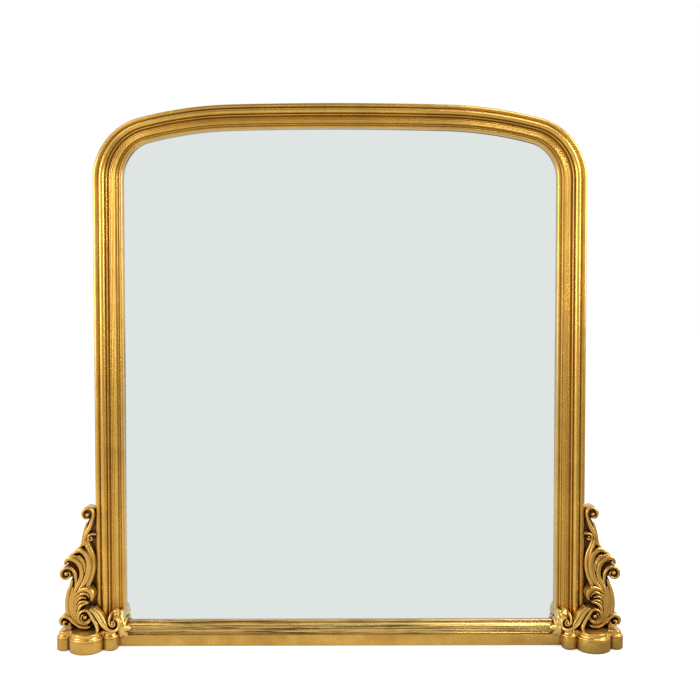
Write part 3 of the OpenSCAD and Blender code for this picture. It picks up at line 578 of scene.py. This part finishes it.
def corner_leaf(name):
    """The leaf that turns down at the end of the sill, with its lobes."""
    return join([
        strand([(-57, -18, 5, 55), (-60, -8, 8, 58), (-61.5, 2, 9, 59), (-61.5, 11, 7.5, 57),
                (-61, 18, 5.4, 52)], 26, tip=False, crown=0.35),
        strand([(-58, 8, 6.2, 62), (-60.6, 16, 7.2, 59), (-61.6, 23, 6.4, 54), (-61.8, 28, 4.8, 50)],
               26, crown=0.4),
        strand([(-59, 5, 6.4, 62), (-64, 9, 6.8, 57), (-67, 12.5, 5.6, 51), (-68.5, 15, 4.4, 47)],
               26, crown=0.4),
        strand([(-60, 0, 6.4, 62), (-67, -0.5, 6.8, 57), (-74, -1.5, 5.8, 51), (-79, -2.5, 4.4, 47)],
               26, crown=0.4),
        strand([(-60, -4, 6.4, 61), (-65.5, -9.5, 6.8, 57), (-70, -14.5, 6.0, 52),
                (-72.5, -18, 4.6, 48)], 26, crown=0.4),
    ], name)


# finishes

def feed(tree, into, source):
    """Links a socket to an input, or gives the input a plain value."""
    if isinstance(source, bpy.types.NodeSocket):
        tree.links.new(source, into)
    else:
        into.default_value = source


def node(tree, kind, **values):
    """Adds a shader node; names with a capital are its inputs, the others its settings."""
    n = tree.nodes.new("ShaderNode" + kind)
    for k, v in values.items():
        if k[0].isupper():
            feed(tree, n.inputs[k.replace("_", " ")], v)
        else:
            setattr(n, k, v)
    return n


def result(tree, kind, *sources, out=0, **values):
    """Adds a node, feeds its first inputs in order and gives what it puts out."""
    n = node(tree, kind, **values)
    for into, source in zip(n.inputs, sources):
        feed(tree, into, source)
    return n.outputs[out]


def maths(tree, operation, *sources, **values):
    """The result of a Math node on its sources."""
    return result(tree, "Math", *sources, operation=operation, **values)


def ramp(tree, source, span, to=(0.0, 1.0), course="LINEAR"):
    """Carries a value over from one span to another, held at its ends."""
    return result(tree, "MapRange", source, interpolation_type=course, From_Min=span[0],
                  From_Max=span[1], To_Min=to[0], To_Max=to[1])


def soft_ramp(tree, source, span, to):
    """The same, eased at both ends."""
    return ramp(tree, source, span, to, "SMOOTHSTEP")


def mix(tree, kind, amount, a, b, blend="MIX"):
    """Mixes two values, where kind is FLOAT, or two colours, where it is RGBA."""
    first, out = {"FLOAT": (2, 0), "RGBA": (6, 2)}[kind]
    n = node(tree, "Mix", data_type=kind, blend_type=blend)
    for i, source in ((0, amount), (first, a), (first + 1, b)):
        feed(tree, n.inputs[i], source)
    return n.outputs[out]


def on_piece(tree):
    """Object coordinates, which stay with the piece."""
    return result(tree, "TexCoord", out="Object")


def group(name, inputs, outputs):
    """Adds a shader node group; gives it with the sockets that it reads and those that it fills."""
    g = bpy.data.node_groups.new(name, "ShaderNodeTree")
    for n, kind, value in inputs:
        s = g.interface.new_socket(n, in_out="INPUT", socket_type="NodeSocket" + kind)
        s.default_value = value
    for n, kind in outputs:
        g.interface.new_socket(n, in_out="OUTPUT", socket_type="NodeSocket" + kind)
    return g, g.nodes.new("NodeGroupInput").outputs, g.nodes.new("NodeGroupOutput").inputs


# how much of a leaf's width its lap takes
LAP_SHARE = 0.015
# painted shade: the colour that the leaf is darkened by in its hollows
SHADE_TONE = (0.24, 0.13, 0.06, 1)
STAINED_WOOD = (0.17, 0.085, 0.035, 1), (0.40, 0.235, 0.11, 1)
GILT_METAL, GILT_COAT = 0.85, 0.35
GILT_ROUGH, WOOD_ROUGH = (0.20, 0.36), 0.75
# all that lies behind this plane is left bare
BARE_Y = BACK_Y - 0.6 * MM


def leaf_laps(g, place, leaf_size):
    """A mask of the laps of the leaves, which are squares laid edge over edge."""
    wander = result(g, "TexNoise", place, Scale=9.0, Detail=2.0, out="Color")
    aside = result(g, "VectorMath", wander, (0.5, 0.5, 0.5), operation="SUBTRACT")
    aside = result(g, "VectorMath", aside, operation="SCALE", Scale=0.03)
    laid = node(g, "SeparateXYZ")
    feed(g, laid.inputs[0], result(g, "VectorMath", place, aside, operation="ADD"))
    laps = []
    for axis in ("X", "Z"):
        along = maths(g, "FRACT", maths(g, "DIVIDE", laid.outputs[axis], leaf_size))
        laps.append(soft_ramp(g, along, (LAP_SHARE, 0.0), (0.0, 1.0)))
    return maths(g, "MAXIMUM", *laps)


def leaf_tone():
    """Gold leaf on Object coordinates: laps of the leaves, cloudy tone, painted shade in the
    hollows.
    The back, which stands to the wall, is left as bare stained wood."""
    g, given, made = group(
        "leaf tone",
        [("Bright", "Color", (0.72, 0.42, 0.07, 1)), ("Deep", "Color", (0.40, 0.19, 0.02, 1)),
         ("Bole", "Color", (0.20, 0.06, 0.02, 1)), ("Leaf size", "Float", 0.08),
         ("Lap", "Float", 0.15), ("Cloud", "Float", 0.5), ("Grime", "Float", 0.7),
         ("Rub", "Float", 0.0), ("Reach", "Float", 0.008)],
        [("Color", "Color"), ("Roughness", "Float"), ("Height", "Float"), ("Metal", "Float"),
         ("Coat", "Float")])
    place = on_piece(g)
    lap = leaf_laps(g, place, given["Leaf size"])
    cloud = result(g, "TexNoise", place, Scale=14.0, Detail=5.0, Roughness=0.6)
    fine = result(g, "TexNoise", place, Scale=160.0, Detail=3.0, Roughness=0.7)
    both = mix(g, "FLOAT", 0.25, cloud, fine)
    # the tone goes from bright to deep in clouds and where it is rubbed
    clouded = maths(g, "MULTIPLY", ramp(g, both, (0.38, 0.66)), given["Cloud"])
    amount = maths(g, "ADD", clouded, given["Rub"], use_clamp=True)
    leaf = mix(g, "RGBA", amount, given["Bright"], given["Deep"])
    # bole shows at the laps
    laid = mix(g, "RGBA", maths(g, "MULTIPLY", lap, given["Lap"]), leaf, given["Bole"])
    # painted shade: the leaf is darkened towards the shade tone where ambient occlusion finds a
    # hollow
    open_air = result(g, "AmbientOcclusion", samples=6, Distance=given["Reach"], out="AO")
    painted_shade = maths(g, "MULTIPLY", ramp(g, open_air, (0.85, 0.3)), given["Grime"])
    gilt = mix(g, "RGBA", painted_shade, laid, mix(g, "RGBA", 1.0, laid, SHADE_TONE, "MULTIPLY"))
    # the back is bare
    bare = maths(g, "GREATER_THAN", result(g, "SeparateXYZ", place, out="Y"), BARE_Y)
    wood = mix(g, "RGBA", both, *STAINED_WOOD)
    feed(g, made["Color"], mix(g, "RGBA", bare, gilt, wood))
    feed(g, made["Metal"], ramp(g, bare, (0.0, 1.0), (GILT_METAL, 0.0)))
    feed(g, made["Coat"], ramp(g, bare, (0.0, 1.0), (GILT_COAT, 0.0)))
    burnish = ramp(g, both, (0.0, 1.0), GILT_ROUGH)
    feed(g, made["Roughness"], mix(g, "FLOAT", bare, burnish, WOOD_ROUGH))
    feed(g, made["Height"], maths(g, "ADD", fine, lap))
    return g


LEAF = leaf_tone()


def material(name, **values):
    """A material, its node tree and its Principled node with these values."""
    m = bpy.data.materials.new(name)
    m.use_nodes = True
    p = m.node_tree.nodes["Principled BSDF"]
    for k, v in values.items():
        p.inputs[k.replace("_", " ")].default_value = v
    return m, m.node_tree, p


def streaks(tree, strength):
    """Fine streaks along X, as a cloth leaves where it rubs the leaf."""
    pulled = result(tree, "Mapping", on_piece(tree), Scale=(7, 620, 620))
    fine = result(tree, "TexNoise", pulled, Scale=1.0, Detail=4.0, Roughness=0.7)
    return ramp(tree, fine, (0.42, 0.62), (-strength, strength))


def gilding(name, rubbed=0.0, **values):
    """A finish of gold leaf, with its own values for the leaf tone."""
    m, t, p = material(name, Coat_Roughness=0.15)
    leaf = t.nodes.new("ShaderNodeGroup")
    leaf.node_tree = LEAF
    for k, v in values.items():
        leaf.inputs[k.replace("_", " ")].default_value = v
    if rubbed:
        feed(t, leaf.inputs["Rub"], streaks(t, rubbed))
    for out, into in (("Color", "Base Color"), ("Roughness", "Roughness"),
                      ("Metal", "Metallic"), ("Coat", "Coat Weight")):
        feed(t, p.inputs[into], leaf.outputs[out])
    relief = result(t, "Bump", Strength=0.07, Distance=0.0003, Height=leaf.outputs["Height"])
    feed(t, p.inputs["Normal"], relief)
    return m


def speckled(name, dark, light, scale, rough, metallic=0.0, bump=0.0):
    """A finish of fine and broad specks between two colours."""
    m, t, p = material(name, Roughness=rough, Metallic=metallic)
    place = on_piece(t)
    fine = result(t, "TexNoise", place, Scale=scale, Detail=4.0)
    broad = result(t, "TexNoise", place, Scale=scale / 60, Detail=4.0)
    specks = ramp(t, mix(t, "FLOAT", 0.5, fine, broad), (0.35, 0.65))
    feed(t, p.inputs["Base Color"], mix(t, "RGBA", specks, (*dark, 1), (*light, 1)))
    if bump:
        feed(t, p.inputs["Normal"], result(t, "Bump", Strength=0.4, Distance=bump, Height=fine))
    return m


gilt_frame = gilding("gold leaf on the frame")
carved = {"Leaf_size": 0.05, "Lap": 0.05, "Cloud": 0.35, "Grime": 1.0, "Reach": 0.008}
# painted light: these finishes are copies of the frame's gold leaf, painted darker on the scrolls
# and the plinth and paler on the caps, the leaves and the sill, for how the light falls on each
shaded_gilt_scroll = gilding("gold leaf shaded darker on the scrolls", Bright=(0.65, 0.37, 0.07, 1), **carved)
lit_gilt_foot = gilding("gold leaf lit paler on the foot", Bright=(0.78, 0.47, 0.1, 1), **carved)
lit_gilt_leaf = gilding("gold leaf lit paler on the leaves", Bright=(0.88, 0.57, 0.15, 1), **carved)
shaded_gilt_plinth = gilding("gold leaf shaded darker on the plinth", Bright=(0.63, 0.375, 0.07, 1), Cloud=0.8)
lit_gilt_sill = gilding("rubbed gold leaf lit paler on the sill", rubbed=1.3, Bright=(0.88, 0.59, 0.17, 1),
                    Deep=(0.13, 0.058, 0.008, 1), Lap=0.1)
# painted shade: this bole is darker than the bole under the leaf, standing in for the shade in the
# gaps between the scrolls
bole = gilding("rubbed bole on the ground", Bright=(0.16, 0.07, 0.02, 1),
               Deep=(0.06, 0.02, 0.008, 1), Lap=0.0, Grime=1.0)
steel = speckled("zinc plate", (0.42, 0.43, 0.45), (0.62, 0.62, 0.62), 240, 0.38, metallic=1.0)
board = speckled("brown hardboard", (0.20, 0.12, 0.065), (0.30, 0.19, 0.11), 320, 0.75,
                 bump=0.0003)
rubber = speckled("black rubber", (0.02, 0.02, 0.02), (0.045, 0.045, 0.045), 400, 0.7)
felt = speckled("green felt", (0.03, 0.09, 0.05), (0.08, 0.17, 0.10), 900, 0.95, bump=0.0005)
silver = material("silvered glass", Base_Color=(0.735, 0.785, 0.768, 1), Metallic=1.0,
                  Roughness=0.0)[0]

# the pieces

fit_pair(stile("left_stile_moulding"), "stile", gilt_frame)
fit_pair(arch_piece("right_shoulder_moulding", [HAUNCH, CORNER]), "shoulder", gilt_frame)
fit(arch_piece("crown_moulding", [CROWN]), "crown_rail", gilt_frame)
fit(sill("sill_moulding"), "sill_rail", lit_gilt_sill)
fit(plinth_rail("plinth_board"), "plinth_rail", shaded_gilt_plinth)
fit_pair(plinth_block("left_block_gilt"), "plinth_block", shaded_gilt_plinth)
fit_pair(plinth_cap("left_cap_gilt"), "plinth_cap", lit_gilt_foot)
fit_pair(scroll_carving("left_scroll_carving"), "scroll_bracket", shaded_gilt_scroll)
fit_pair(foot_leaf("left_foot_leaf_carving"), "foot_leaf", lit_gilt_leaf)
fit_pair(corner_leaf("left_corner_leaf_carving"), "corner_leaf", lit_gilt_leaf)
fit_pair(scroll_ground("left_scroll_ground"), "scroll_bracket", bole)

finish_of = {"mirror": silver, "board": board, "steel": steel, "rubber": rubber, "felt": felt,
             "gilt": gilt_frame}
slots = {s["node"]: s["material_slot"] for s in frame["record"]["subparts"]}
for name, obj in frame["nodes"].items():
    obj.data.materials.clear()
    obj.data.materials.append(finish_of[slots[name]])


# floor, light and camera

def pale_floor():
    """A floor that keeps the shadow and looks near white; metal finds it darker to the right.
    The looking glass shows it as white as the backdrop."""
    m, t, p = material("pale floor", Roughness=1.0, Specular_IOR_Level=0.0)
    ray = node(t, "LightPath").outputs
    across = result(t, "SeparateXYZ", on_piece(t), out="X")
    fade = (0.1, 0.8)
    tone = soft_ramp(t, across, fade, (0.5, 0.2))
    feed(t, p.inputs["Base Color"], mix(t, "FLOAT", ray["Is Glossy Ray"], 0.5, tone))
    gleam = soft_ramp(t, across, fade, (0.3, 0.0))
    for_metal = maths(t, "MULTIPLY", gleam, ray["Is Glossy Ray"])
    for_eye = maths(t, "MULTIPLY", ray["Is Camera Ray"], 0.7)
    glow = result(t, "Emission", Strength=maths(t, "ADD", for_metal, for_eye))
    lit = result(t, "AddShader", p.outputs[0], glow)
    white = result(t, "Emission", Strength=1.0)
    in_glass = result(t, "MixShader", ray["Is Singular Ray"], lit, white)
    feed(t, t.nodes["Material Output"].inputs["Surface"], in_glass)
    return m


def studio():
    """White to the eye and in the looking glass; metal finds the air above and beside darker.
    Each ramp runs over a span of the ray's direction along one axis."""
    world = bpy.data.worlds.new("studio")
    world.use_nodes = True
    t = world.node_tree
    direction = node(t, "SeparateXYZ")
    feed(t, direction.inputs[0], result(t, "TexCoord", out="Generated"))
    above = soft_ramp(t, direction.outputs["Z"], (0.05, 0.55), (1.0, 0.12))
    right = soft_ramp(t, direction.outputs["X"], (0.36, 0.85), (1.0, 0.45))
    left = soft_ramp(t, direction.outputs["X"], (-0.36, -0.85), (1.0, 0.5))
    behind = soft_ramp(t, direction.outputs["Y"], (-0.15, 0.35), (0.0, 0.95))
    in_front = maths(t, "MULTIPLY", above, maths(t, "MULTIPLY", right, left))
    for_metal = maths(t, "MAXIMUM", in_front, behind)
    ray = node(t, "LightPath").outputs
    air = mix(t, "FLOAT", ray["Is Glossy Ray"], 0.75, for_metal)
    white = maths(t, "MAXIMUM", ray["Is Camera Ray"], ray["Is Singular Ray"])
    sky = t.nodes["Background"]
    sky.inputs["Color"].default_value = (1, 1, 1, 1)
    feed(t, sky.inputs["Strength"], maths(t, "MAXIMUM", air, white))
    return world


def softbox(name, at, aim, w, h, watts):
    """A rectangular lamp at a place, turned to what it lights."""
    clear()
    bpy.ops.object.light_add(type="AREA", location=at)
    lamp = bpy.context.object
    lamp.name = name
    lamp.data.shape = "RECTANGLE"
    lamp.data.size, lamp.data.size_y = w, h
    lamp.data.energy = watts
    lamp.rotation_euler = (Vector(aim) - Vector(at)).to_track_quat("-Z", "Y").to_euler()


# the floor's width in metres, and how far it lies under the felt
FLOOR_SIZE = 60
FLOOR_DROP = 0.2 * MM

clear()
bpy.ops.mesh.primitive_plane_add(size=FLOOR_SIZE, location=(0, 0, -FLOOR_DROP))
floor = bpy.context.object
floor.name = "floor"
floor.data.materials.append(pale_floor())
bpy.context.scene.world = studio()

softbox("left light", (-2.7, -1.2, 1.3), (-0.3, 0, 0.8), 1.8, 1.4, 46)
softbox("right light", (2.8, -0.9, 1.4), (0.3, 0, 0.8), 1.0, 1.2, 33)
softbox("key light", (2.2, -0.9, 2.1), (0.3, 0, 0.8), 0.6, 0.7, 34)
softbox("overhead light", (0.95, -0.9, 2.6), (0.3, 0, 0.4), 0.9, 0.7, 14)
softbox("upper left light", (-1.3, -1.1, 2.3), (-0.2, 0, 0.5), 0.8, 0.9, 7)

# the camera stands above the mirror's middle, tilted down and turned a little to the right
CAMERA_AT = (0.0044, BACK_Y - 2.557, 0.7936)
CAMERA_DOWN, CAMERA_RIGHT = math.radians(2.2), math.radians(0.41)
LENS, SENSOR_W = 55.58, 36

clear()
bpy.ops.object.camera_add(location=CAMERA_AT,
                          rotation=(math.pi / 2 - CAMERA_DOWN, 0, -CAMERA_RIGHT))
camera = bpy.context.object
camera.data.lens = LENS
camera.data.sensor_width = SENSOR_W
bpy.context.scene.camera = camera
bpy.context.scene.view_settings.view_transform = "Standard"
